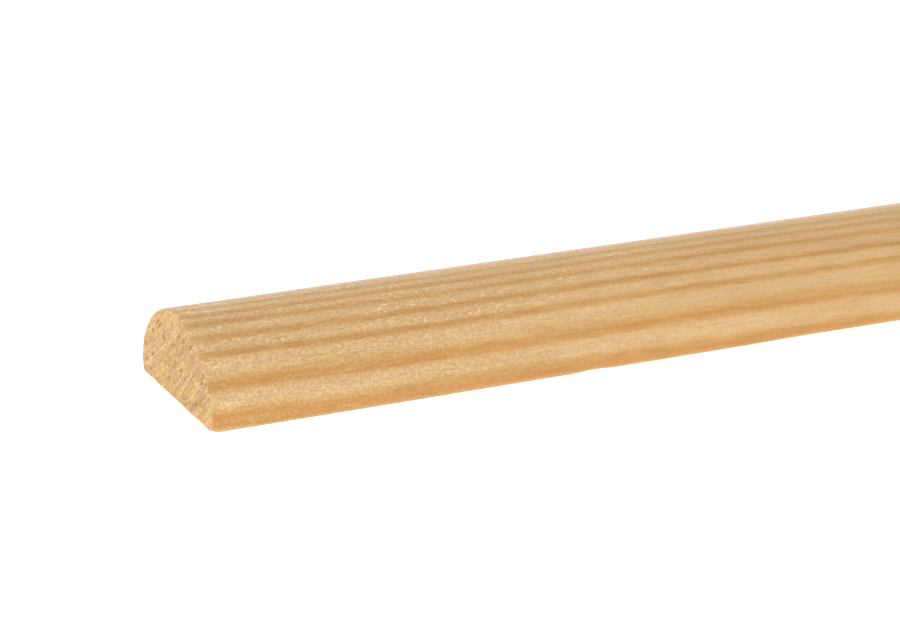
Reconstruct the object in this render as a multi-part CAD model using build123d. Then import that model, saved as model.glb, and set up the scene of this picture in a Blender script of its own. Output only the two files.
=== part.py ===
from build123d import *

import os
from math import atan2, degrees

# Half round moulding: one length of planed softwood trim with a flat back and a domed face.
#
# The section is a three-centred arch. Each side rises from the flat back as a low upright edge. A
# shoulder arc turns it inwards, and one wide crown arc runs on smoothly from shoulder to shoulder.
# The two arrises along the back are lightly eased, and both ends are sawn square.
#
# The origin is the middle of the flat back: +X runs along the moulding, +Y across it and +Z out of
# the domed face. All sizes are in millimetres.

# The stock size that the moulding is sold in
LENGTH = 900.0
WIDTH = 20.0  # across the flat back
HEIGHT = 9.0  # from the flat back to the crown

# The shape of the section
EDGE_HEIGHT = 1.4  # from the flat back to where each upright edge turns into its shoulder
SHOULDER_RADIUS = 4.8
ARRIS_RADIUS = 0.5  # along the two back corners

NODE = "moulding"


def crown_arc() -> tuple[float, float]:
    """The crown arc's radius, and the angle above level, in degrees, where a shoulder meets it.

    Each shoulder is centred level with the top of its edge, and the crown arc on the middle line.
    The two arcs meet where the line through both centres cuts them, so they share a tangent there.
    """
    inset = WIDTH / 2 - SHOULDER_RADIUS
    rise = HEIGHT - EDGE_HEIGHT
    radius = (inset**2 + rise**2 - SHOULDER_RADIUS**2) / (2 * (rise - SHOULDER_RADIUS))
    return radius, degrees(atan2(radius - rise, inset))


def moulding_section() -> Sketch:
    """The closed outline, with its flat back on the X axis and its crown on +Y."""
    half = WIDTH / 2
    inset = half - SHOULDER_RADIUS
    crown_radius, meeting = crown_arc()
    with BuildSketch() as section:
        with BuildLine():
            Polyline((-half, EDGE_HEIGHT), (-half, 0), (half, 0), (half, EDGE_HEIGHT))
            CenterArc((inset, EDGE_HEIGHT), SHOULDER_RADIUS, 0, meeting)
            CenterArc((0, HEIGHT - crown_radius), crown_radius, meeting, 180 - 2 * meeting)
            CenterArc((-inset, EDGE_HEIGHT), SHOULDER_RADIUS, 180 - meeting, meeting)
        make_face()
        fillet(section.vertices().group_by(Axis.Y)[0], ARRIS_RADIUS)
    return section.sketch


def moulding_length() -> Part:
    """The section stood on end at one sawn end and run out to the stock length."""
    first_end = Plane.YZ.offset(-LENGTH / 2)
    return extrude(first_end * moulding_section(), amount=LENGTH)


def main() -> None:
    """Write the moulding's one piece."""
    os.makedirs("parts", exist_ok=True)
    moulding = moulding_length()
    moulding.label = NODE
    export_step(moulding, f"parts/{NODE}.step")


main()
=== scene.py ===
"""Dresses the half round moulding: one length of planed softwood, seen from low beside one sawn end.

The classes give their sizes in millimetres, as a joiner would. Along the stock, a place is given by
how far it lies from the first end. The meshes are made in metres, in the frame of the CAD model.
"""

import logging
from dataclasses import astuple, dataclass, field, replace
from enum import Enum
from functools import reduce
from itertools import product

import bpy
import numpy as np
from mathutils import Matrix, Vector
from mathutils.geometry import delaunay_2d_cdt


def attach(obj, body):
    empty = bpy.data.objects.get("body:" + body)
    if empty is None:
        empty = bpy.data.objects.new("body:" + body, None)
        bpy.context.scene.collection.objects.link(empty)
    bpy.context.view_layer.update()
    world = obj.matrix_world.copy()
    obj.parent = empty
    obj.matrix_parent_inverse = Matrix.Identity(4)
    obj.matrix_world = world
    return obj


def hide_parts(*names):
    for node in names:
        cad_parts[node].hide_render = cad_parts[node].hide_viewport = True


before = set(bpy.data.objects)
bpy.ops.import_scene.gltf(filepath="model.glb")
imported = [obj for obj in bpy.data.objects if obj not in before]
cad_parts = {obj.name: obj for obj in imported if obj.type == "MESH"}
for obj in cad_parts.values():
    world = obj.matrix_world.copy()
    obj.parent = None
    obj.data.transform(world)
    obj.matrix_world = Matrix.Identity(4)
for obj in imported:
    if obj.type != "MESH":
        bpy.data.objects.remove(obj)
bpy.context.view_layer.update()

MM = 0.001

# What mixes a corner of the noise's lattice into a value of its own.
HASH_PLACES = (73856093, 19349663, 83492791)
HASH_SEED = 40503
HASH_ROUNDS = ((13, 1274126177), (16, 1103515245))
HASH_BITS = 0xFFFFFFFF
HASH_SKIP = 8
HASH_LEVELS = 0xFFFF

# The triangle maker keeps only what lies inside the outline.
INSIDE_ONLY = 1

Array = np.ndarray
Pair = tuple[float, float]
Triple = tuple[float, float, float]
Colour = Triple
Socket = bpy.types.NodeSocket
Feed = Socket | float
Inputs = dict[int | str, Feed | tuple[float, ...]]

log = logging.getLogger("moulding")


class Face(Enum):
    """The two ways in which the stock is cut, and the material slot that each one wears."""

    PLANED = 0
    SAWN = 1


class End(Enum):
    """The two ends of the stock, numbered as in the lists that hold something for each."""

    FIRST = 0
    LAST = 1


def smooth_step(low: float, high: float, value: Array) -> Array:
    """Eases from 0 at low to 1 at high.

    Args:
        low: The value at which the step starts.
        high: The value at which the step is complete.
        value: The values to ease.

    Returns:
        The eased values, from 0 to 1.
    """
    share = np.clip((value - low) / (high - low), 0.0, 1.0)
    return share * share * (3.0 - 2.0 * share)


@dataclass(frozen=True)
class LatticeNoise:
    """Smooth random values in space, which come out the same on every run."""

    seed: int

    def corner(self, i: Array, j: Array, k: Array) -> Array:
        """Draws the value that belongs to each corner of the lattice.

        Args:
            i: Whole-numbered places along the first axis.
            j: Whole-numbered places along the second axis.
            k: Whole-numbered places along the third axis.

        Returns:
            One value from 0 to 1 for each corner.
        """
        mixed = self.seed * HASH_SEED
        for place, factor in zip((i, j, k), HASH_PLACES):
            mixed = mixed ^ (place * factor)
        mixed = mixed & HASH_BITS
        for shift, factor in HASH_ROUNDS:
            mixed = ((mixed ^ (mixed >> shift)) * factor) & HASH_BITS
        return ((mixed >> HASH_SKIP) & HASH_LEVELS) / HASH_LEVELS

    def at(self, x: Array, y: Array, z: Array) -> Array:
        """Reads the noise at points whose spacing is counted in lattice cells.

        Args:
            x: Places along the first axis.
            y: Places along the second axis.
            z: Places along the third axis.

        Returns:
            Values from 0 to 1, in the shape that the three arrays make together.
        """
        x, y, z = np.broadcast_arrays(x, y, z)
        low = [np.floor(v).astype(np.int64) for v in (x, y, z)]
        part = [v - w for v, w in zip((x, y, z), low)]
        part = [v * v * v * (v * (6.0 * v - 15.0) + 10.0) for v in part]
        total = np.zeros(x.shape)
        for step in product((0, 1), repeat=3):
            weight = 1.0
            for share, up in zip(part, step):
                weight = weight * (share if up else 1.0 - share)
            total += weight * self.corner(*(place + up for place, up in zip(low, step)))
        return total


@dataclass(frozen=True)
class Run:
    """One line or arc of the section. Going along it, the wood is on the right hand."""

    start: Pair
    end: Pair
    steps: int
    centre: Pair | None = None

    def measure(self) -> Triple:
        """Measures the arc.

        Returns:
            Its radius, its first angle and its sweep, or zeros for a line.
        """
        if self.centre is None:
            return 0.0, 0.0, 0.0
        first = np.subtract(self.start, self.centre)
        last = np.subtract(self.end, self.centre)
        begin = np.arctan2(first[1], first[0])
        sweep = np.arctan2(last[1], last[0]) - begin
        sweep -= 2.0 * np.pi if sweep > 0.0 else 0.0
        return float(np.hypot(*first)), float(begin), float(sweep)

    def length(self) -> float:
        """How long the run is."""
        radius, _, sweep = self.measure()
        return abs(radius * sweep) if radius else float(np.hypot(*np.subtract(self.end, self.start)))

    def at(self, share: Array) -> tuple[Array, Array]:
        """Places and outward directions along the run.

        Args:
            share: How far along the run each point is, from 0 to 1.

        Returns:
            The points and their outward directions, each as rows of two numbers.
        """
        radius, begin, sweep = self.measure()
        if radius:
            angle = begin + sweep * share
            out = np.stack([np.cos(angle), np.sin(angle)], 1)
            return np.asarray(self.centre) + radius * out, out
        way = np.subtract(self.end, self.start)
        out = np.array([-way[1], way[0]]) / np.hypot(*way)
        points = np.asarray(self.start) + share[:, None] * way
        return points, np.repeat(out[None, :], len(share), 0)


@dataclass(frozen=True)
class SectionOutline:
    """The moulding's section: a flat back, two low upright edges and a three-centred dome."""

    width: float = 20.0
    height: float = 9.0
    edge_height: float = 1.4
    shoulder_radius: float = 4.8
    arris_radius: float = 0.5
    crown_steps: int = 92
    shoulder_steps: int = 12
    edge_steps: int = 4
    arris_steps: int = 4
    back_steps: int = 26

    def runs(self) -> list[Run]:
        """Divides the section into lines and arcs.

        Returns:
            The runs, from the first back arris over the dome and home along the back.
        """
        half = self.width / 2
        inset = half - self.shoulder_radius
        rise = self.height - self.edge_height
        crown = (inset**2 + rise**2 - self.shoulder_radius**2) / (2 * (rise - self.shoulder_radius))
        turn = np.arctan2(crown - rise, inset)
        meet_y = inset + self.shoulder_radius * np.cos(turn)
        meet_z = self.edge_height + self.shoulder_radius * np.sin(turn)
        ease = self.arris_radius
        foot = half - ease
        return [
            Run((-foot, 0.0), (-half, ease), self.arris_steps, (-foot, ease)),
            Run((-half, ease), (-half, self.edge_height), self.edge_steps),
            Run((-half, self.edge_height), (-meet_y, meet_z), self.shoulder_steps,
                (-inset, self.edge_height)),
            Run((-meet_y, meet_z), (meet_y, meet_z), self.crown_steps, (0.0, self.height - crown)),
            Run((meet_y, meet_z), (half, self.edge_height), self.shoulder_steps,
                (inset, self.edge_height)),
            Run((half, self.edge_height), (half, ease), self.edge_steps),
            Run((half, ease), (foot, 0.0), self.arris_steps, (foot, ease)),
            Run((foot, 0.0), (-foot, 0.0), self.back_steps),
        ]

    def stations(self) -> tuple[Array, Array, Array, float]:
        """Points right round the section, closely spaced where the shape turns.

        Returns:
            The points, their outward directions, how far round each one is, and the whole way round.
        """
        points, outward, girth = [], [], []
        gone = 0.0
        for run in self.runs():
            share = np.arange(run.steps) / run.steps
            place, out = run.at(share)
            points.append(place)
            outward.append(out)
            girth.append(gone + share * run.length())
            gone += run.length()
        return np.concatenate(points), np.concatenate(outward), np.concatenate(girth), gone


@dataclass(frozen=True)
class Year:
    """One growth ring. Its latewood shows from a share of its width, and is complete at another."""

    width: float
    late_start: float
    late_full: float
    darkness: float
    tone: float = 1.0


@dataclass(frozen=True)
class GrowthRings:
    """The tree's rings through the stock. They lie on arcs about a pith above the far shoulder."""

    pith: Pair = (48.1, 68.4)
    inner_depth: float = 14.75
    years: tuple[Year, ...] = (
        Year(1.20, 0.25, 0.65, 0.60),
        Year(1.00, 0.20, 0.70, 0.75),
        Year(1.15, 0.30, 0.75, 0.55),
        # These five rings lie towards the crown. Their tones above 1 are painted light: they make the crown
        # lighter, as if lit more strongly from above.
        Year(1.10, 0.20, 0.65, 0.80, 1.03),
        Year(1.25, 0.30, 0.70, 0.80, 1.05),
        Year(1.27, 0.35, 0.75, 0.60, 1.03),
        Year(1.01, 0.08, 0.36, 0.62, 1.03),
        Year(1.28, 0.11, 0.42, 0.88, 1.045),
        Year(1.30, 0.11, 0.53, 0.87),
        Year(1.89, 0.25, 0.66, 0.83),
        Year(1.98, 0.29, 0.61, 0.80, 1.01),
        Year(3.36, 0.21, 0.77, 0.95, 1.02),
        Year(3.14, 0.26, 0.57, 1.00, 1.02),
        Year(2.55, 0.40, 0.80, 0.90, 1.03),
        Year(2.30, 0.35, 0.75, 0.95),
        Year(2.80, 0.40, 0.80, 0.90),
    )
    sharp_side: float = 0.17
    bow: float = 3.2
    bow_length: float = 1700.0
    ripple: float = 0.11
    ripple_length: float = 72.0
    ripple_start: float = 4.0
    wander: float = 0.10
    wander_cell: Pair = (16.0, 4.0)
    offset: float = -0.045
    gather: float = 0.10
    gather_length: float = 600.0
    gather_from: float = 3.4
    noise: LatticeNoise = LatticeNoise(11)

    def drift(self, along: Array, around: Array) -> Array:
        """How far the rings have moved towards the first edge, because the grain isn't quite straight.

        Args:
            along: Places along the stock.
            around: Places along the arcs of the rings.

        Returns:
            The movement, square to the rings.
        """
        slow = self.bow * np.sin(2.0 * np.pi * along / self.bow_length)
        quick = self.ripple * np.sin(2.0 * np.pi * (along - self.ripple_start) / self.ripple_length)
        length, width = self.wander_cell
        stray = self.noise.at(along / length, around / width, np.zeros(1)) - 0.5
        return slow + quick + self.wander * stray + self.offset

    def fibre(self, along: Array, y: Array, z: Array) -> tuple[Array, Array]:
        """Places in the tree's own terms, which stay the same along a fibre.

        Args:
            along: Places along the stock.
            y: Places across the stock.
            z: Places above the flat back.

        Returns:
            How far round its ring each point is, and how far outwards from the pith, less the
            distance of the middle of the back.
        """
        dy, dz = y - self.pith[0], z - self.pith[1]
        reach = np.hypot(*self.pith)
        around = reach * (np.arctan2(-dy, -dz) - np.arctan2(*self.pith))
        outward = np.hypot(dy, dz) - reach - self.drift(along, around)
        inner = np.maximum(-self.gather_from - outward, 0.0)
        outward = outward + self.gather * np.sin(2.0 * np.pi * along / self.gather_length) * inner
        return around, outward

    def count(self, outward: Array) -> Array:
        """The number of rings up to a distance from the pith, running on smoothly inside each ring."""
        edges = -self.inner_depth + np.cumsum([0.0] + [year.width for year in self.years])
        return np.interp(outward, edges, np.arange(len(edges)))

    def of_year(self, count: Array) -> Array:
        """Looks up the ring that holds each point.

        Args:
            count: The number of rings up to each point.

        Returns:
            The ring's five numbers, in the order that Year gives them.
        """
        index = np.clip(np.floor(count).astype(int), 0, len(self.years) - 1)
        table = np.array([astuple(year) for year in self.years])
        return table[index]

    def latewood(self, count: Array) -> Array:
        """Finds how dense the wood is.

        Args:
            count: The number of rings up to each point.

        Returns:
            0 in the soft earlywood, and up to 1 in the latewood.
        """
        phase = count - np.floor(count)
        width, start, full, darkness, _ = np.moveaxis(self.of_year(count), -1, 0)
        rise = smooth_step(0.0, 1.0, (phase - start) / (full - start))
        return darkness * rise * smooth_step(0.0, self.sharp_side, (1.0 - phase) * width)


@dataclass(frozen=True)
class Grown:
    """What the tree gives to each point of a surface."""

    along: Array
    around: Array
    outward: Array
    count: Array
    rings: Array

    def held(self) -> dict[str, Array]:
        """Gathers what the mesh holds for the materials.

        Returns:
            Rows of three numbers under each name. Growth is the ring count, and where in its ring the
            latewood starts and is complete. Year is the ring's width, darkness and tone. Fibre is the
            place along the stock, round the rings and outwards.
        """
        width, start, full, darkness, tone = np.moveaxis(self.rings, -1, 0)
        kept = {
            "growth": (self.count, start, full),
            "year": (width, darkness, tone),
            "fibre": (self.along, self.around, self.outward),
        }
        return {name: np.stack(values, -1).reshape(-1, 3) for name, values in kept.items()}


@dataclass(frozen=True)
class Step:
    """An eased step in a material, from one number to another as a value goes from low to high."""

    low: Feed
    high: Feed
    before: Feed = 0.0
    after: Feed = 1.0


@dataclass(frozen=True)
class Grain:
    """A noise in the wood, and the step that it's eased over.

    Its cells to the millimetre are given along the stock, round the rings and outwards.
    """

    cells: Triple
    step: Step = Step(0.3, 0.7)
    detail: float = 2.0
    roughness: float = 0.5


class NodeBench:
    """Adds shader nodes to one material or sky, and joins them up."""

    WARMTH: Triple = (1.0, 1.25, 1.75)
    WHOLE: Triple = (1.0, 1.0, 1.0)

    def __init__(self, owner: bpy.types.Material | bpy.types.World) -> None:
        """Starts without any node.

        Args:
            owner: The material or sky that the nodes are for.
        """
        self.owner = owner
        owner.use_nodes = True
        self.tree = owner.node_tree
        self.tree.nodes.clear()

    def node(self, kind: str, inputs: Inputs, **settings: object) -> bpy.types.Node:
        """Adds a node and feeds it.

        Args:
            kind: The node's type, without the words that every shader node's type starts with.
            inputs: What goes into each socket, which is an output to join to it or a constant.
            settings: The node's own settings.

        Returns:
            The new node.
        """
        made = self.tree.nodes.new("ShaderNode" + kind)
        for name, value in settings.items():
            setattr(made, name, value)
        for place, value in inputs.items():
            if isinstance(value, Socket):
                self.tree.links.new(value, made.inputs[place])
            else:
                made.inputs[place].default_value = value
        return made

    def attribute(self, name: str) -> Socket:
        """The vector that the mesh holds under a name."""
        return self.node("Attribute", {}, attribute_name=name).outputs["Vector"]

    def split(self, vector: Socket) -> list[Socket]:
        """A vector's three numbers."""
        return list(self.node("SeparateXYZ", {0: vector}).outputs)

    def height(self) -> Socket:
        """How far each point lies above the flat back, in millimetres."""
        place = self.node("TexCoord", {}).outputs["Object"]
        return self.maths("DIVIDE", self.split(place)[2], MM)

    def ring_number(self) -> Socket:
        """The number of the ring that holds each point, with how far through it the point is."""
        return self.split(self.attribute("growth"))[0]

    def from_end(self, fibre: Socket, length: float) -> Socket:
        """How far each point is from the nearer end of the stock."""
        along = self.split(fibre)[0]
        return self.maths("MINIMUM", along, self.maths("SUBTRACT", length, along))

    def maths(self, operation: str, *values: Feed) -> Socket:
        """Works out a sum of one to three numbers. The sum goes by its Blender name."""
        return self.node("Math", dict(enumerate(values)), operation=operation).outputs[0]

    def times(self, *values: Feed) -> Socket:
        """Multiplies numbers together."""
        return reduce(lambda first, second: self.maths("MULTIPLY", first, second), values)

    def line(self, value: Feed, slope: Feed, start: Feed) -> Socket:
        """Multiplies a value by a slope, and adds what it starts from."""
        return self.maths("MULTIPLY_ADD", value, slope, start)

    def stretch(self, vector: Socket, by: Socket | Triple) -> Socket:
        """Multiplies a vector, part by part."""
        return self.node("VectorMath", {0: vector, 1: by}, operation="MULTIPLY").outputs[0]

    def noise(self, fibre: Socket, grain: Grain) -> Socket:
        """Reads a grain of the wood before it is eased.

        Args:
            fibre: The place to read it at, in millimetres.
            grain: Its size and detail.

        Returns:
            Values about 0.5.
        """
        inputs = {
            "Vector": self.stretch(fibre, grain.cells),
            "Scale": 1.0,
            "Detail": grain.detail,
            "Roughness": grain.roughness,
        }
        return self.node("TexNoise", inputs, noise_dimensions="3D").outputs["Fac"]

    def ease(self, value: Feed, step: Step) -> Socket:
        """Eases a value over a step.

        Args:
            value: The value to ease.
            step: Where it starts and ends, and what comes out before and after it.

        Returns:
            The eased value.
        """
        inputs = {
            "Value": value,
            "From Min": step.low,
            "From Max": step.high,
            "To Min": step.before,
            "To Max": step.after,
        }
        return self.node("MapRange", inputs, interpolation_type="SMOOTHSTEP").outputs["Result"]

    def grain(self, fibre: Socket, grain: Grain) -> Socket:
        """Reads a grain of the wood, eased over its own step."""
        return self.ease(self.noise(fibre, grain), grain.step)

    def stray(self, value: Socket) -> Socket:
        """How far a value is from 0.5."""
        return self.maths("SUBTRACT", value, 0.5)

    def around_one(self, value: Socket, amount: Feed) -> Socket:
        """Turns a value about 0.5 into a factor about 1, by an amount."""
        return self.line(self.stray(value), amount, 1.0)

    def shade(self, colour: Socket, factor: Socket) -> Socket:
        """Makes a colour darker or lighter by a factor. The darker it gets, the warmer it is.

        Args:
            colour: The colour.
            factor: The factor for red. Green and blue change by more.

        Returns:
            The new colour.
        """
        inputs = {0: self.maths("SUBTRACT", factor, 1.0), 1: self.WARMTH, 2: self.WHOLE}
        warmth = self.node("VectorMath", inputs, operation="MULTIPLY_ADD").outputs[0]
        return self.stretch(colour, warmth)

    def blend(self, share: Socket, first: Socket | Colour, second: Socket | Colour) -> Socket:
        """Mixes two colours.

        Args:
            share: How much of the second colour there is.
            first: The colour where the share is 0.
            second: The colour where the share is 1.

        Returns:
            The mixed colour.
        """
        inputs = {"Factor": share}
        for name, colour in (("A", first), ("B", second)):
            inputs[name] = (*colour, 1.0) if isinstance(colour, tuple) else colour
        return self.node("Mix", inputs, data_type="RGBA").outputs["Result"]

    def dress(self, inputs: Inputs) -> None:
        """Ends a material with its shader."""
        shader = self.node("BsdfPrincipled", inputs).outputs["BSDF"]
        self.node("OutputMaterial", {"Surface": shader})

    def surface(self, finish: "PlanedSoftwood | SawnSoftwood", colour: Socket, roughness: Socket,
                height: Socket) -> bpy.types.Material:
        """Finishes the wood, with its relief and its shader.

        Args:
            finish: The finish, which gives the depth of the relief and the shine.
            colour: The wood's colour.
            roughness: How dull it is.
            height: The fine relief, from 0 to 1.

        Returns:
            The finished material.
        """
        bump = self.node("Bump", {"Strength": 1.0, "Distance": finish.relief * MM, "Height": height})
        inputs = {
            "Base Color": colour,
            "Roughness": roughness,
            "Specular IOR Level": finish.specular,
            "Normal": bump.outputs["Normal"],
        }
        self.dress(inputs)
        return self.owner


@dataclass(frozen=True)
class RingPattern:
    """Finds the dark latewood of each ring in a material, from what the mesh holds."""

    length: float = 900.0
    sharp_side: float = 0.38
    sharp_by_width: float = 0.05
    blur: Step = Step(0.0, 75.0, 1.0, 1.3)
    fray: float = 0.34
    fray_grain: Grain = Grain((0.8, 4.0, 4.0), detail=3.0, roughness=0.65)
    wander: float = 0.24
    wander_grain: Grain = Grain((0.13, 1.1, 1.1))
    patches: float = 0.36
    patch_grain: Grain = Grain((0.3, 1.8, 1.8))
    lines: float = 0.30
    line_grain: Grain = Grain((0.008, 0.02, 1.7), detail=1.0)

    def latewood(self, bench: NodeBench) -> tuple[Socket, Socket, Socket]:
        """Works out how dark the ring is at each point.

        Args:
            bench: The material's nodes.

        Returns:
            The dark share, from 0 to 1, how far through its ring the point is, and the year's tone.
        """
        fibre = bench.attribute("fibre")
        count, start, full = bench.split(bench.attribute("growth"))
        width, darkness, tone = bench.split(bench.attribute("year"))
        fray = bench.maths("DIVIDE", bench.stray(bench.noise(fibre, self.fray_grain)), width)
        phase = bench.maths("FRACT", bench.line(fray, self.fray, count))
        wander = bench.stray(bench.noise(fibre, self.wander_grain))
        rise = bench.ease(bench.line(wander, self.wander, phase), Step(start, full))
        left = bench.times(bench.maths("SUBTRACT", 1.0, phase), width)
        sharp = bench.line(width, self.sharp_by_width, self.sharp_side)
        blur = bench.ease(bench.from_end(fibre, self.length), self.blur)
        fall = bench.ease(left, Step(0.0, bench.times(sharp, blur)))
        share = bench.times(
            bench.times(rise, fall, darkness),
            bench.around_one(bench.grain(fibre, self.patch_grain), self.patches),
            bench.around_one(bench.grain(fibre, self.line_grain), self.lines),
        )
        return share, phase, tone


@dataclass(frozen=True)
class PlanedSoftwood:
    """The planed faces: pale earlywood, orange latewood, and the short fibres that a planer lifts. The
    paler colour of the lifted fibres and the pale glints among them are painted highlights.

    A step whose name ends in rings goes by the ring's number, one that ends in side by the place round
    the rings, and one that ends in latewood by how dark the ring is. The floor-lit arris, which is painted
    light from the pale floor, and what lies above the back go by the height, the fuzz by how far through
    its ring a point is, and the calm and the tint's near and far by how far off the nearer end of the
    stock is.
    """

    earlywood: Colour = (0.622, 0.406, 0.195)
    middle: Colour = (0.590, 0.356, 0.136)
    inner_latewood: Colour = (0.500, 0.276, 0.103)
    outer_latewood: Colour = (0.545, 0.275, 0.088)
    latewood_rings: Step = Step(8.0, 12.5)
    # A paler strip along the lower arris: painted light from the pale floor, which the arris faces.
    floor_lit_arris: Step = Step(0.2, 0.65, 0.5, 0.0)
    above_back: Step = Step(0.04, 0.12)
    inner_tint: Triple = (1.07, 1.01, 0.81)
    tint_rings: Step = Step(5.6, 6.9, 1.0, 0.0)
    tint_near: Step = Step(15.0, 60.0)
    tint_far: Step = Step(85.0, 200.0, 1.0, 0.0)
    tint_side: Step = Step(0.0, 4.0)
    calm: Step = Step(0.0, 75.0, 1.0, 0.18)
    # Painted shade: the wood darkens further from the ends, most on the rings near the crown, standing in
    # for the light falling off along the stock and for the shade of the relief, which calms there.
    falloff_shade_rings: Step = Step(7.0, 11.5, 0.89, 0.96)
    streaks: float = 0.09
    streak_grain: Grain = Grain((0.3, 6.0, 6.0), roughness=0.6)
    flecks: float = 0.24
    fleck_grain: Grain = Grain((3.4, 4.2, 4.2), Step(0.34, 0.66), roughness=0.6)
    fleck_loss: float = 0.3
    # The fuzz is partly real and partly painted light: its relief raises the lifted fibres, and its paler
    # colour is a painted highlight where they catch the light.
    fuzz: Step = Step(0.15, 0.55, 0.12, 0.0)
    fuzz_grain: Grain = Grain((1.9, 3.4, 3.4), Step(0.52, 0.68), detail=1.0)
    # The glints are painted highlights: pale specks put into the colour where raised fibres would catch the
    # light. They fade on the far side, on the lower rings and in the latewood.
    glint_rings: Step = Step(9.5, 11.5, 0.42, 0.105)
    glint_side: Step = Step(-2.5, 2.0, 0.2, 1.0)
    glint_latewood: Step = Step(0.1, 0.7, 1.0, 0.3)
    glint_grain: Grain = Grain((2.5, 2.9, 2.9), Step(0.61, 0.72), detail=0.0)
    clump_grain: Grain = Grain((0.16, 0.5, 0.5), Step(0.40, 0.58), detail=1.0)
    clouds: float = 0.07
    cloud_grain: Grain = Grain((0.08, 0.5, 0.5))
    dashes: float = 0.07
    dash_grain: Grain = Grain((0.45, 5.0, 5.0), Step(0.70, 0.78), detail=0.0)
    # The tone that the painted highlights of the fuzz and the glints lift from.
    ground_tone: float = 0.99
    fleck_height: float = 0.6
    streak_height: float = 0.4
    fuzz_height: float = 2.0
    roughness: float = 0.30
    latewood_polish: float = 0.05
    fleck_dullness: float = 0.2
    specular: float = 0.15
    relief: float = 0.06

    def make(self, rings: RingPattern) -> bpy.types.Material:
        """Builds the material.

        Args:
            rings: How the growth rings are found.

        Returns:
            The material.
        """
        bench = NodeBench(bpy.data.materials.new("planed_softwood"))
        fibre = bench.attribute("fibre")
        side = bench.split(fibre)[1]
        from_end = bench.from_end(fibre, rings.length)
        number = bench.ring_number()
        above = bench.height()
        late, phase, tone = rings.latewood(bench)

        latewood = bench.ease(number, self.latewood_rings)
        latewood = bench.blend(latewood, self.inner_latewood, self.outer_latewood)
        # The middle colour stands where the ring is half as dark as it can be.
        colour = bench.blend(bench.times(late, 2.0), self.earlywood, self.middle)
        colour = bench.blend(bench.line(late, 2.0, -1.0), colour, latewood)
        # Painted light from the floor: the lower arris, just above the back, goes paler, towards the
        # earlywood.
        floor_light = bench.times(bench.ease(above, self.floor_lit_arris), bench.ease(above, self.above_back))
        colour = bench.blend(floor_light, colour, self.earlywood)
        tinted = bench.times(
            bench.ease(number, self.tint_rings),
            bench.ease(from_end, self.tint_near),
            bench.ease(from_end, self.tint_far),
            bench.ease(side, self.tint_side),
        )
        colour = bench.blend(tinted, colour, bench.stretch(colour, self.inner_tint))

        streaks = bench.grain(fibre, self.streak_grain)
        flecks = bench.grain(fibre, self.fleck_grain)
        fuzz = bench.grain(fibre, self.fuzz_grain)
        calm = bench.ease(from_end, self.calm)
        # Painted shade, darker further from the ends.
        falloff_shade = replace(self.calm, after=bench.ease(number, self.falloff_shade_rings))
        fleck_amount = bench.times(bench.line(late, -self.fleck_loss * self.flecks, self.flecks), calm)
        fuzz_amount = bench.times(bench.ease(phase, self.fuzz), bench.maths("SUBTRACT", 1.0, late), calm)
        # How strong the painted highlights of the glints are.
        glint_amount = bench.times(
            bench.ease(number, self.glint_rings),
            bench.ease(late, self.glint_latewood),
            bench.ease(side, self.glint_side),
            bench.grain(fibre, self.clump_grain),
            calm,
        )
        tone = bench.times(
            tone,
            bench.ease(from_end, falloff_shade),
            bench.around_one(streaks, self.streaks),
            bench.around_one(flecks, fleck_amount),
            bench.around_one(bench.grain(fibre, self.cloud_grain), self.clouds),
            # The fuzz and the glints lift the tone: painted highlights where the fibres catch the light.
            bench.line(fuzz, fuzz_amount, self.ground_tone),
            bench.line(bench.grain(fibre, self.glint_grain), glint_amount, self.ground_tone),
            bench.line(bench.grain(fibre, self.dash_grain), -self.dashes, 1.0),
        )

        height = bench.line(flecks, self.fleck_height, bench.times(streaks, self.streak_height))
        height = bench.line(bench.times(fuzz, fuzz_amount), self.fuzz_height, height)
        rough = bench.times(
            bench.line(late, -self.latewood_polish, self.roughness),
            bench.around_one(flecks, self.fleck_dullness),
        )
        return bench.surface(self, bench.shade(colour, tone), rough, bench.times(height, calm))


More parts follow.
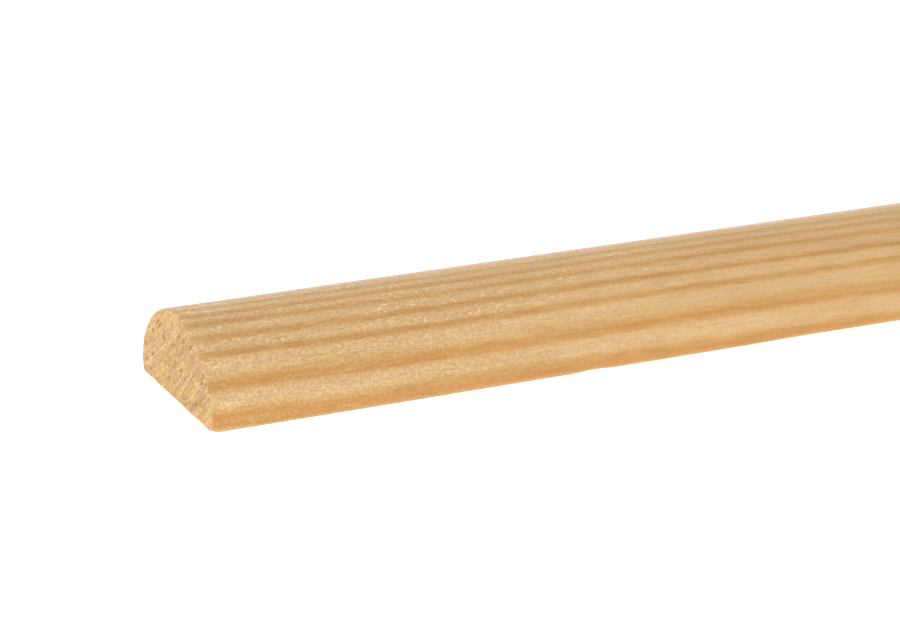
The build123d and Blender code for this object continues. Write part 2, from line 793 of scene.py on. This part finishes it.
@dataclass(frozen=True)
class SawnSoftwood:
    """The sawn ends: open end grain, torn along the rings, with small pits. Painted shade darkens the pits
    and the deeper torn grain.

    The step for the marked rings goes by the ring's number, and those for torn and pits by the depth,
    as a share of how deep the torn grain lies.
    """

    base: Colour = (0.560, 0.338, 0.117)
    rosy: Colour = (0.548, 0.310, 0.148)
    rosy_grain: Grain = Grain((0.3, 0.45, 0.8), Step(0.5, 0.75), detail=1.0)
    ring_mark: Colour = (0.430, 0.215, 0.086)
    marked_rings: Step = Step(12.0, 12.3, 0.62, 0.30)
    # Painted shade: the torn grain darkens where it lies deeper and lightens where it stands proud.
    painted_tear_shade: float = 0.42
    torn: Step = Step(0.15, 0.85, 1.0, 0.0)
    # Painted shade: the dark colour that the pits go to.
    hollow: Colour = (0.300, 0.145, 0.045)
    pits: Step = Step(0.95, 1.8, 0.0, 0.70)
    streaks: float = 0.24
    streak_grain: Grain = Grain((0.5, 0.26, 4.4), roughness=0.6)
    streak_height: float = 0.5
    pores: float = 0.40
    pore_grain: Grain = Grain((1.0, 3.6, 5.5), detail=1.0)
    pore_height: float = 0.5
    pore_dullness: float = 0.2
    roughness: float = 0.62
    specular: float = 0.35
    relief: float = 0.045

    def make(self, rings: RingPattern, tear_depth: float) -> bpy.types.Material:
        """Builds the material.

        Args:
            rings: How the growth rings are found, so that they meet those of the planed faces.
            tear_depth: How deep the torn grain lies where it isn't pitted.

        Returns:
            The material.
        """
        bench = NodeBench(bpy.data.materials.new("sawn_softwood"))
        fibre = bench.attribute("fibre")
        late, _, tone = rings.latewood(bench)
        streaks = bench.grain(fibre, self.streak_grain)
        pores = bench.grain(fibre, self.pore_grain)
        deep = bench.maths("DIVIDE", bench.from_end(fibre, rings.length), tear_depth)

        colour = bench.blend(bench.grain(fibre, self.rosy_grain), self.base, self.rosy)
        marked = bench.times(late, bench.ease(bench.ring_number(), self.marked_rings))
        colour = bench.blend(marked, colour, self.ring_mark)
        tone = bench.times(
            tone,
            # Painted shade in the torn grain, darker with depth.
            bench.around_one(bench.ease(deep, self.torn), self.painted_tear_shade),
            bench.around_one(streaks, self.streaks),
            bench.around_one(pores, self.pores),
        )
        # The pits darken to a painted shade.
        colour = bench.blend(bench.ease(deep, self.pits), bench.shade(colour, tone), self.hollow)

        height = bench.line(streaks, self.streak_height, bench.times(pores, self.pore_height))
        rough = bench.times(bench.around_one(pores, self.pore_dullness), self.roughness)
        return bench.surface(self, colour, rough, height)


@dataclass(frozen=True)
class Dent:
    """A shallow knock in the first back arris, as wide along the stock as it's given."""

    along: float
    reach: float
    depth: float


@dataclass(frozen=True)
class PlanedRelief:
    """What a planer leaves on the wood: soft rings pressed low, lifted flecks and knife ripples.

    Each cell gives the size of a noise, first along the fibre and then across it.
    """

    ring_hollow: float = 0.018
    fleck_depth: float = 0.026
    fleck_cell: Pair = (0.9, 0.35)
    fleck_share: float = 0.6
    long_fleck_cell: Pair = (4.0, 0.5)
    long_fleck_start: float = 50.0
    dense_share: float = 0.35
    ripple_depth: float = 0.004
    ripple_pitch: float = 1.8
    dents: tuple[Dent, ...] = (Dent(0.0, 0.65, 0.20), Dent(40.6, 2.7, 0.12), Dent(66.0, 9.0, 0.05))
    dent_girth: float = 1.1
    dent_slope: float = 0.6
    edge_break: float = 0.12
    edge_least: float = 0.6
    edge_spread: float = 0.8
    edge_cell: float = 0.8
    edge_reach: float = 0.32
    back_share: float = 0.3
    facing_down: float = -0.9
    noise: LatticeNoise = LatticeNoise(23)

    def dent_depth(self, along: Array, girth: Array) -> Array:
        """How deep the dents are.

        Args:
            along: Places along the stock.
            girth: Places round the section, from the first back arris.

        Returns:
            Depths in millimetres.
        """
        near_arris = np.clip(1.0 - girth / self.dent_girth, 0.0, 1.0)
        across = smooth_step(0.0, self.dent_slope, near_arris)
        total = np.zeros(np.broadcast(along, girth).shape)
        for dent in self.dents:
            share = np.clip(1.0 - np.abs(along - dent.along) / dent.reach, 0.0, 1.0)
            total += dent.depth * smooth_step(0.0, 1.0, share) * across
        return total

    def depth(self, grown: Grown, dense: Array, from_end: Array, upward: Array) -> Array:
        """How far the surface lies inside the section's outline.

        Args:
            grown: What the tree gives to each point.
            dense: How dense the wood is, from 0 to 1.
            from_end: The distance to the nearer end.
            upward: How far the surface faces up, from -1 on the back to 1 on the crown.

        Returns:
            Depths in millimetres, all 0 or more.
        """
        along, around, outward = grown.along, grown.around, grown.outward
        soft = 1.0 - dense
        length, width = self.fleck_cell
        flecks = self.noise.at(along / length, around / width, outward / width)
        length, width = self.long_fleck_cell
        long_flecks = self.noise.at(along / length + self.long_fleck_start, around / width, outward / width)
        flecks = self.fleck_share * flecks + (1.0 - self.fleck_share) * long_flecks
        flecks = (self.dense_share + (1.0 - self.dense_share) * soft) * flecks
        wear = 0.5 + 0.5 * np.cos(2.0 * np.pi * along / self.ripple_pitch)
        uneven = self.noise.at(around / self.edge_cell, outward / self.edge_cell, np.ones(1))
        broken = self.edge_break * (self.edge_least + self.edge_spread * uneven)
        broken = broken * np.where(upward < self.facing_down, self.back_share, 1.0)
        near_end = np.clip(1.0 - from_end / self.edge_reach, 0.0, 1.0)
        pressed = self.ring_hollow * soft + self.fleck_depth * flecks
        return pressed + self.ripple_depth * wear + broken * near_end**2


@dataclass(frozen=True)
class Pit:
    """A hollow in a sawn end where the saw pulled out a tuft of fibre. It's longer along the rings."""

    across: float
    above: float
    reach: float
    depth: float


@dataclass(frozen=True)
class Tear:
    """One size of torn grain: its cells round and across the rings, its layer of noise and its share."""

    around: float
    across: float
    layer: float
    share: float


@dataclass(frozen=True)
class SawnEnd:
    """One sawn end: a fine triangle mesh laid out along the rings, torn and pitted by the saw."""

    across_rings: float
    along_rings: float
    pits: tuple[Pit, ...] = ()
    pit_width: float = 0.22
    tear_depth: float = 0.12
    tears: tuple[Tear, ...] = (
        Tear(3.4, 0.22, 0.0, 0.38),
        Tear(1.0, 0.28, 9.0, 0.27),
        Tear(0.36, 0.20, 15.0, 0.35),
    )
    ridges: Tear = Tear(1.5, 0.20, 5.0, 0.35)
    ridge_range: Pair = (0.82, 0.96)
    specks: Tear = Tear(0.45, 0.26, 21.0, 0.13)
    speck_range: Pair = (0.92, 1.0)
    dense_calm: float = 0.3
    span: float = 16.0
    clear_share: float = 0.75
    merge: float = 1e-6
    noise: LatticeNoise = LatticeNoise(37)

    def points(self, rim: Array, rings: GrowthRings) -> Array:
        """Points inside the rim, in rows that follow the rings.

        Args:
            rim: The section's points in order.
            rings: The growth rings.

        Returns:
            The points as rows of two numbers.
        """
        lean = np.arctan2(*rings.pith)
        across = np.array([np.sin(lean), np.cos(lean)])
        along = np.array([-np.cos(lean), np.sin(lean)])
        rows = np.arange(-self.span, self.span, self.across_rings)
        places = np.arange(-self.span, self.span, self.along_rings)
        row, place = np.meshgrid(rows, places, indexing="ij")
        shift = (np.arange(len(rows)) % 2)[:, None] * 0.5 * self.along_rings
        grid = row[..., None] * across + (place + shift)[..., None] * along
        grid = grid.reshape(-1, 2)
        return grid[self.inside(grid, rim, self.clear_share * self.across_rings)]

    @staticmethod
    def inside(points: Array, rim: Array, clear: float) -> Array:
        """Which points lie inside a rim, and clear of it.

        Args:
            points: The points to test.
            rim: The rim's points in order.
            clear: How far from the rim a point has to be.

        Returns:
            One true or false for each point.
        """
        within = np.zeros(len(points), bool)
        near = np.full(len(points), np.inf)
        y, z = points[:, 0], points[:, 1]
        for a, b in zip(rim, np.roll(rim, -1, 0)):
            crosses = (a[1] > z) != (b[1] > z)
            rise = b[1] - a[1] if b[1] != a[1] else 1.0
            within ^= crosses & (y < (b[0] - a[0]) * (z - a[1]) / rise + a[0])
            way = b - a
            share = np.clip(((points - a) @ way) / (way @ way), 0.0, 1.0)
            near = np.minimum(near, np.hypot(*(points - a - share[:, None] * way).T))
        return within & (near > clear)

    def triangles(self, rim: Array, inner: Array) -> Array:
        """Joins the rim and the inner points into triangles.

        Args:
            rim: The rim's points in order.
            inner: The points inside it.

        Returns:
            Rows of three indices, first the rim's points and then the inner ones, anticlockwise
            with y to the right and z up.
        """
        points = np.concatenate([rim, inner])
        outline = [list(range(len(rim)))]
        found = delaunay_2d_cdt([Vector(point) for point in points], [], outline, INSIDE_ONLY, self.merge)
        faces, owners = found[2:4]
        made = np.array([[owners[number][0] for number in face] for face in faces])
        corner = points[made]
        first, second = corner[:, 1] - corner[:, 0], corner[:, 2] - corner[:, 0]
        turned = first[:, 0] * second[:, 1] - first[:, 1] * second[:, 0] < 0.0
        made[turned] = made[turned][:, ::-1]
        return made

    def pit_share(self, points: Array, rings: GrowthRings) -> Array:
        """How deep the pulled-out tufts are.

        Args:
            points: Points of the end, as rows of two numbers.
            rings: The growth rings.

        Returns:
            Depths in millimetres.
        """
        total = np.zeros(len(points))
        for pit in self.pits:
            away = points - (pit.across, pit.above)
            inward = np.subtract(rings.pith, (pit.across, pit.above))
            inward = inward / np.hypot(*inward)
            across = away @ inward
            along = away @ np.array([-inward[1], inward[0]])
            far = np.hypot(along / pit.reach, across / self.pit_width)
            total = np.maximum(total, pit.depth * smooth_step(0.0, 1.0, 1.0 - far))
        return total

    def torn(self, tear: Tear, grown: Grown) -> Array:
        """Reads one size of torn grain, from 0 to 1."""
        layer = np.full(1, tear.layer)
        return self.noise.at(grown.around / tear.around, grown.outward / tear.across, layer)

    def depth(self, points: Array, grown: Grown, rings: GrowthRings) -> Array:
        """How far the sawn surface lies inside the end of the stock.

        Args:
            points: Points of the end, as rows of two numbers.
            grown: What the tree gives to them.
            rings: The growth rings.

        Returns:
            Depths in millimetres, all 0 or more.
        """
        tears = sum(tear.share * self.torn(tear, grown) for tear in self.tears)
        ridges = smooth_step(*self.ridge_range, self.torn(self.ridges, grown))
        tears = np.maximum(tears - self.ridges.share * ridges, 0.0)
        tears = self.tear_depth * tears * (1.0 - self.dense_calm * rings.latewood(grown.count))
        specks = smooth_step(*self.speck_range, self.torn(self.specks, grown))
        return tears + self.specks.share * specks + self.pit_share(points, rings)


@dataclass(frozen=True)
class BakeLayout:
    """Lays the surface out flat: the length in strips, the first one larger, and the ends below."""

    strips: tuple[Pair, ...] = ((0.0, 110.0), (110.0, 373.0), (373.0, 636.0), (636.0, 900.0))
    across: tuple[float, ...] = (9.0, 3.1, 3.1, 3.1)
    image: float = 1024.0
    margin: float = 6.0
    end_middles: Pair = (0.25, 0.75)
    end_scale: float = 9.5

    def sheath(self, along: Array, girth: Array, middle: Array, whole: float) -> Array:
        """Places the corners of the planed faces.

        Args:
            along: The corners' places along the stock.
            girth: The corners' places round the section.
            middle: For each corner, the place along the stock of its face's middle.
            whole: The whole way round the section.

        Returns:
            Rows of two numbers from 0 to 1.
        """
        out = np.zeros((len(along), 2))
        top = self.margin
        for (first, last), scale in zip(self.strips, self.across):
            mine = (middle >= first) & (middle < last)
            stretch = (self.image - 2.0 * self.margin) / (last - first)
            out[mine, 0] = self.margin + (along[mine] - first) * stretch
            out[mine, 1] = top + girth[mine] * scale
            top += whole * scale + self.margin
        return out / self.image

    def end(self, points: Array, which: End, whole: float) -> Array:
        """Places the corners of a sawn end.

        Args:
            points: The corners' places across the stock and above the back.
            which: The end that they are on.
            whole: The whole way round the section.

        Returns:
            Rows of two numbers from 0 to 1.
        """
        top = self.margin + sum(whole * scale + self.margin for scale in self.across)
        left = self.end_middles[which.value] * self.image + points[:, 0] * self.end_scale
        return np.stack([left, top + points[:, 1] * self.end_scale], 1) / self.image


def add_object(name: str, data: bpy.types.ID) -> bpy.types.Object:
    """Makes an object of some data, and puts it in the scene.

    Args:
        name: The object's name.
        data: Its mesh, light or camera.

    Returns:
        The object.
    """
    made = bpy.data.objects.new(name, data)
    bpy.context.scene.collection.objects.link(made)
    return made


@dataclass
class MeshParts:
    """The points and faces of one mesh, with what each point holds."""

    points: list[Array] = field(default_factory=list)
    held: list[dict[str, Array]] = field(default_factory=list)
    faces: list[list[int]] = field(default_factory=list)
    looks: list[int] = field(default_factory=list)
    places: list[Array] = field(default_factory=list)

    def add_points(self, points: Array, grown: Grown) -> int:
        """Adds points.

        Args:
            points: Rows of three numbers.
            grown: What the tree gives to them.

        Returns:
            The number of the first one.
        """
        first = sum(len(added) for added in self.points)
        self.points.append(points)
        self.held.append(grown.held())
        return first

    def add_faces(self, faces: Array, face: Face, places: Array) -> None:
        """Adds faces of one kind.

        Args:
            faces: The numbers of each face's points.
            face: Their kind.
            places: The places of their corners on the flat layout.
        """
        self.faces.extend(faces.tolist())
        self.looks.extend([face.value] * len(faces))
        self.places.append(places)

    def build(self, name: str, materials: list[bpy.types.Material]) -> bpy.types.Object:
        """Makes the object.

        Args:
            name: The piece's name.
            materials: One material for each kind of face.

        Returns:
            The finished object, linked to the scene.
        """
        mesh = bpy.data.meshes.new(name)
        mesh.from_pydata((np.concatenate(self.points) * MM).tolist(), [], self.faces)
        for material in materials:
            mesh.materials.append(material)
        mesh.polygons.foreach_set("material_index", self.looks)
        for label in self.held[0]:
            values = np.concatenate([held[label] for held in self.held])
            kept = mesh.attributes.new(label, "FLOAT_VECTOR", "POINT")
            kept.data.foreach_set("vector", values.astype(np.float32).ravel())
        layer = mesh.uv_layers.new(name="OFBake")
        layer.uv.foreach_set("vector", np.concatenate(self.places).astype(np.float32).ravel())
        mesh.shade_smooth()
        self.sharpen(mesh)
        mesh.update()
        return add_object(name, mesh)

    @staticmethod
    def sharpen(mesh: bpy.types.Mesh) -> None:
        """Keeps a crisp line where a sawn end meets the planed faces.

        Args:
            mesh: The mesh, with its materials set.
        """
        kinds: dict[tuple[int, int], set[int]] = {}
        for polygon in mesh.polygons:
            for key in polygon.edge_keys:
                kinds.setdefault(key, set()).add(polygon.material_index)
        for edge in mesh.edges:
            edge.use_edge_sharp = len(kinds[edge.key]) > 1


@dataclass
class HalfRoundStrip:
    """The whole moulding, as one mesh round its section and along its length."""

    length: float = 900.0
    first_slices: tuple[float, ...] = (0.0, 0.06, 0.16, 0.32)
    fine_from: float = 0.6
    fine_length: float = 88.0
    fine_step: float = 0.35
    coarse_steps: int = 310
    last_slices: tuple[float, ...] = (0.3, 0.12, 0.0)
    near_spacing: Pair = (0.115, 0.22)
    far_spacing: Pair = (0.17, 0.32)
    outline: SectionOutline = field(default_factory=SectionOutline)
    rings: GrowthRings = field(default_factory=GrowthRings)
    relief: PlanedRelief = field(default_factory=PlanedRelief)
    layout: BakeLayout = field(default_factory=BakeLayout)
    near_pits: tuple[Pit, ...] = (
        Pit(4.6, 6.3, 0.95, 0.16),
        Pit(6.6, 5.2, 0.50, 0.18),
        Pit(3.5, 5.6, 0.55, 0.15),
        Pit(6.9, 2.6, 0.80, 0.12),
        Pit(8.7, 1.6, 0.50, 0.13),
        Pit(7.6, 0.9, 0.40, 0.12),
        Pit(-1.0, 6.9, 0.50, 0.15),
        Pit(-4.3, 6.8, 0.50, 0.12),
        Pit(-1.4, 3.6, 0.55, 0.13),
        Pit(2.1, 1.8, 0.45, 0.12),
        Pit(-4.5, 3.4, 0.35, 0.18),
        Pit(-7.2, 4.2, 0.35, 0.18),
        Pit(-5.2, 1.4, 0.60, 0.11),
    )

    def ends(self) -> tuple[SawnEnd, SawnEnd]:
        """The two sawn ends, the nearer one more finely divided."""
        return SawnEnd(*self.near_spacing, self.near_pits), SawnEnd(*self.far_spacing)

    def slices(self) -> Array:
        """Cuts the length up, finely near the first end and more coarsely further on.

        Returns:
            Places along the stock, one of them at each end of a strip of the flat layout.
        """
        fine = np.arange(self.fine_from, self.fine_length, self.fine_step)
        rest = self.length - fine[-1] - self.fine_from
        widest = 2.0 * rest / self.coarse_steps / self.fine_step - 1.0
        steps = np.linspace(1.0, widest, self.coarse_steps)
        coarse = fine[-1] + np.cumsum(steps) * rest / steps.sum()
        middle = np.concatenate([self.first_slices, fine, coarse])
        for _, place in self.layout.strips[:-1]:
            middle[np.argmin(abs(middle - place))] = place
        return np.concatenate([middle, self.length - np.array(self.last_slices)])

    def grown(self, along: Array, y: Array, z: Array) -> Grown:
        """Finds what the tree gives to points of the stock.

        Args:
            along: Places along the stock.
            y: Places across the stock.
            z: Places above the flat back.

        Returns:
            What it gives to each of them.
        """
        around, outward = self.rings.fibre(along, y, z)
        count = self.rings.count(outward)
        return Grown(along, around, outward, count, self.rings.of_year(count))

    def place(self, along: Array, y: Array, z: Array) -> Array:
        """Points in the frame of the CAD model, in millimetres, as rows of three numbers."""
        return np.stack([along - self.length / 2, y, z], -1).reshape(-1, 3)

    def sheath(self, parts: MeshParts) -> tuple[int, int]:
        """Builds the dome, the edges and the back.

        Args:
            parts: The mesh that they are added to.

        Returns:
            The number of slices and the number of points round each.
        """
        points, out, girth, whole = self.outline.stations()
        along = self.slices()
        rows, columns = len(along), len(points)
        grid = np.broadcast_arrays(along[:, None], points[None, :, 0], points[None, :, 1])
        grown = self.grown(*grid)
        dense = self.rings.latewood(grown.count)
        from_end = np.minimum(grid[0], self.length - grid[0])
        depth = self.relief.depth(grown, dense, from_end, out[None, :, 1])
        depth = depth + self.relief.dent_depth(grid[0], girth[None, :])
        y = grid[1] - out[None, :, 0] * depth
        z = grid[2] - out[None, :, 1] * depth
        parts.add_points(self.place(grid[0], y, z), grown)
        row, column = np.meshgrid(np.arange(rows - 1), np.arange(columns), indexing="ij")
        corners = ((row, column), (row + 1, column), (row + 1, column + 1), (row, column + 1))
        faces = np.stack([at * columns + beside % columns for at, beside in corners], -1)
        corner_along = np.stack([along[at] for at, _ in corners], -1)
        corner_girth = np.stack([np.append(girth, whole)[beside] for _, beside in corners], -1)
        middle = np.repeat(((along[row] + along[row + 1]) / 2)[..., None], len(corners), -1)
        places = self.layout.sheath(corner_along.ravel(), corner_girth.ravel(), middle.ravel(), whole)
        parts.add_faces(faces.reshape(-1, len(corners)), Face.PLANED, places)
        return rows, columns

    def end(self, parts: MeshParts, which: End, rim: Array) -> None:
        """Closes one end.

        Args:
            parts: The mesh that it is added to.
            which: The end.
            rim: The numbers of the points round it.
        """
        sawn = self.ends()[which.value]
        edge = np.concatenate(parts.points)[rim][:, 1:]
        inner = sawn.points(edge, self.rings)
        triangles = sawn.triangles(edge, inner)
        at = np.full(len(inner), 0.0 if which is End.FIRST else self.length)
        grown = self.grown(at, inner[:, 0], inner[:, 1])
        depth = sawn.depth(inner, grown, self.rings)
        grown = replace(grown, along=np.abs(at - depth))
        first = parts.add_points(self.place(grown.along, inner[:, 0], inner[:, 1]), grown)
        numbers = np.concatenate([rim, first + np.arange(len(inner))])
        if which is End.FIRST:
            triangles = triangles[:, ::-1]
        flat = np.concatenate([edge, inner])[triangles].reshape(-1, 2)
        *_, whole = self.outline.stations()
        parts.add_faces(numbers[triangles], Face.SAWN, self.layout.end(flat, which, whole))

    def build(self, planed: PlanedSoftwood, sawn: SawnSoftwood) -> bpy.types.Object:
        """Builds and dresses the moulding.

        Args:
            planed: The finish of the dome, the edges and the back.
            sawn: The finish of the ends.

        Returns:
            The moulding, riding on the frame in place of its CAD node.
        """
        parts = MeshParts()
        rows, columns = self.sheath(parts)
        self.end(parts, End.FIRST, np.arange(columns))
        self.end(parts, End.LAST, (rows - 1) * columns + np.arange(columns))
        pattern = RingPattern(self.length)
        near, _ = self.ends()
        dressed = [planed.make(pattern), sawn.make(pattern, near.tear_depth)]
        strip = parts.build("half_round_strip", dressed)
        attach(strip, "root")
        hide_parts("moulding")
        return strip


@dataclass
class Studio:
    """A plain pale floor under an even white sky, with one broad soft light.

    The sky's step goes by how far up it is, and gives its strength at the horizon and above it.
    """

    floor_size: float = 40.0
    floor_drop: float = 0.0002
    floor_colour: tuple[float, ...] = (0.35, 0.35, 0.35, 1.0)
    floor_roughness: float = 0.9
    floor_glow: float = 1.10
    white: tuple[float, ...] = (1.0, 1.0, 1.0, 1.0)
    sky: Step = Step(0.0, 0.22, 1.20, 0.80)
    key_strength: float = 1.05
    key_spread: float = 70.0
    key_from: Triple = (-0.42, -0.3, 1.0)

    def build_floor(self) -> None:
        """Lays the floor, which glows a little so that nothing on it goes grey."""
        half = self.floor_size / 2
        mesh = bpy.data.meshes.new("floor")
        corners = [(-half, -half), (half, -half), (half, half), (-half, half)]
        mesh.from_pydata([(x, y, -self.floor_drop) for x, y in corners], [], [(0, 1, 2, 3)])
        bench = NodeBench(bpy.data.materials.new("pale_floor"))
        bench.dress({
            "Base Color": self.floor_colour,
            "Roughness": self.floor_roughness,
            "Emission Color": self.white,
            "Emission Strength": self.floor_glow,
        })
        mesh.materials.append(bench.owner)
        made = add_object("floor", mesh)

    def build_light(self) -> None:
        """Hangs the broad soft light."""
        lamp = bpy.data.lights.new("softbox", "SUN")
        lamp.energy = self.key_strength
        lamp.angle = np.radians(self.key_spread)
        made = add_object("softbox", lamp)
        made.rotation_euler = Vector(self.key_from).to_track_quat("Z", "Y").to_euler()

    def build_sky(self) -> None:
        """Makes the white surroundings, which are brighter towards the horizon."""
        bench = NodeBench(bpy.data.worlds.new("studio"))
        upward = bench.split(bench.node("TexCoord", {}).outputs["Generated"])[2]
        inputs = {"Color": self.white, "Strength": bench.ease(upward, self.sky)}
        glow = bench.node("Background", inputs).outputs["Background"]
        bench.node("OutputWorld", {"Surface": glow})
        bpy.context.scene.world = bench.owner
        bpy.context.scene.view_settings.view_transform = "Standard"

    def build(self) -> None:
        """Sets up the whole studio."""
        self.build_floor()
        self.build_light()
        self.build_sky()


@dataclass
class PhotoCamera:
    """A long lens near the floor, level, looking along the moulding from beside its first end."""

    lens: float = 105.77
    sensor: float = 36.0
    nearest: float = 0.01
    furthest: float = 100.0
    place: Triple = (-528.648, -227.664, 89.520)
    azimuth: float = -25.344
    elevation: float = 18.635

    def build(self) -> None:
        """Places the camera and makes it the scene's own."""
        turn, tilt = np.radians(self.azimuth), np.radians(self.elevation)
        back = Vector((np.sin(turn) * np.cos(tilt), -np.cos(turn) * np.cos(tilt), np.sin(tilt)))
        right = Vector((np.cos(turn), np.sin(turn), 0.0))
        up = back.cross(right)
        camera = bpy.data.cameras.new("photo_camera")
        camera.lens = self.lens
        camera.sensor_fit = "HORIZONTAL"
        camera.sensor_width = self.sensor
        camera.clip_start = self.nearest
        camera.clip_end = self.furthest
        made = add_object("photo_camera", camera)
        turned = Matrix((right, up, back)).transposed().to_4x4()
        made.matrix_world = Matrix.Translation(Vector(self.place) * MM) @ turned
        bpy.context.scene.camera = made


def main() -> None:
    """Builds the studio, the camera and the moulding, and reports the piece."""
    logging.basicConfig(level=logging.INFO, format="%(name)s: %(message)s")
    Studio().build()
    PhotoCamera().build()
    strip = HalfRoundStrip().build(PlanedSoftwood(), SawnSoftwood())
    triangles = sum(len(face.vertices) - 2 for face in strip.data.polygons)
    log.info("%s: %d points, %d triangles", strip.name, len(strip.data.vertices), triangles)


if __name__ == "__main__":
    main()
